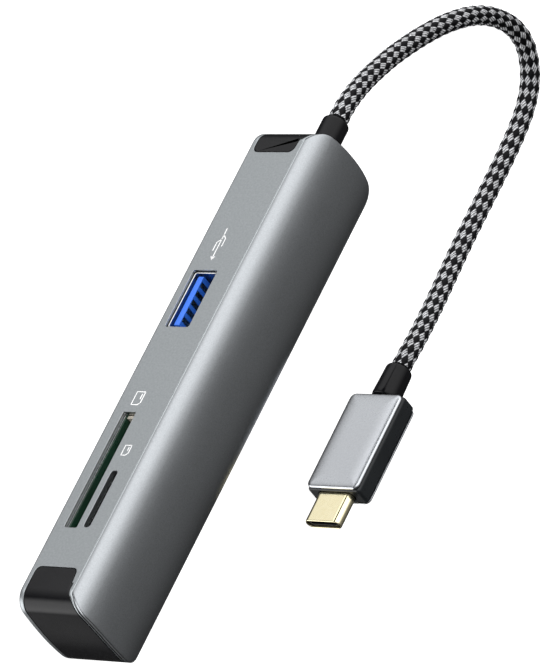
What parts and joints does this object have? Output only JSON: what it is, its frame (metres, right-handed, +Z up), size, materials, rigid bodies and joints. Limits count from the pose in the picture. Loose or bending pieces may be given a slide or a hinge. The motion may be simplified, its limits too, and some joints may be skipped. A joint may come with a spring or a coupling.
{
  "type": "usb hub",
  "caption": "Slim aluminium USB-C hub: USB-A, SD and micro SD ports in one long side, glossy black ends, arched dark cover, short braided cable ending in a USB-C plug.",
  "frame": {"origin": "bottom centre of the hub body, on the surface it lies on", "axes": "+Z up through the arched cover; +X along the body to its closed end, the cable leaves at the -X end; the port face looks along -Y"},
  "size_m": [0.1732, 0.0618, 0.0161],
  "materials": {
    "housing_aluminium": "fine satin anodised",
    "cover_aluminium": "bead-blasted dark grey anodised",
    "gloss_black": "high gloss",
    "black_resin": "matt",
    "ivory_resin": "satin",
    "board_green": "satin solder mask",
    "steel": "bright",
    "blue_plastic": "satin",
    "gold": "bright gold plating",
    "chip_black": "matt",
    "ceramic": "matt",
    "ferrite": "matt",
    "braid": "black and silver woven braid",
    "wire_red": "satin",
    "wire_white": "satin",
    "plug_body": "satin",
    "plug_cover": "satin anodised"
  },
  "bodies": {
    "root": {"lower_housing": "housing_aluminium", "top_cover": "cover_aluminium", "closed_end_inlay": "gloss_black", "cable_end_inlay": "gloss_black", "circuit_board": "board_green", "board_screw_1": "steel", "board_screw_2": "steel", "board_screw_3": "steel", "board_screw_4": "steel", "hub_controller_chip": "chip_black", "card_reader_chip": "chip_black", "crystal": "steel", "power_inductor": "ferrite", "input_capacitor": "ceramic", "usb_a_shell": "steel", "usb_a_tongue": "blue_plastic", "usb_a_signal_contact_1": "gold", "usb_a_signal_contact_2": "gold", "usb_a_signal_contact_3": "gold", "usb_a_signal_contact_4": "gold", "usb_a_signal_contact_5": "gold", "usb_a_power_contact_1": "gold", "usb_a_power_contact_2": "gold", "usb_a_power_contact_3": "gold", "usb_a_power_contact_4": "gold", "sd_cage": "steel", "sd_floor_board": "board_green", "sd_frame": "ivory_resin", "sd_contact_1": "gold", "sd_contact_2": "gold", "sd_contact_3": "gold", "sd_contact_4": "gold", "sd_contact_5": "gold", "sd_contact_6": "gold", "sd_contact_7": "gold", "sd_contact_8": "gold", "sd_contact_9": "gold", "micro_sd_cage": "steel", "micro_sd_frame": "black_resin", "micro_sd_contact_1": "gold", "micro_sd_contact_2": "gold", "micro_sd_contact_3": "gold", "micro_sd_contact_4": "gold", "micro_sd_contact_5": "gold", "micro_sd_contact_6": "gold", "micro_sd_contact_7": "gold", "micro_sd_contact_8": "gold", "hub_collar": "gloss_black", "cable_tail": "black_resin", "cable_crimp": "steel", "power_wire": "wire_red", "data_wire": "wire_white", "cable": "braid", "plug_collar": "gloss_black", "plug_core": "plug_body", "plug_cover_front": "plug_cover", "plug_cover_back": "plug_cover", "plug_board": "board_green", "usb_c_shell": "gold", "usb_c_insulator": "black_resin"}
  },
  "joints": []
}
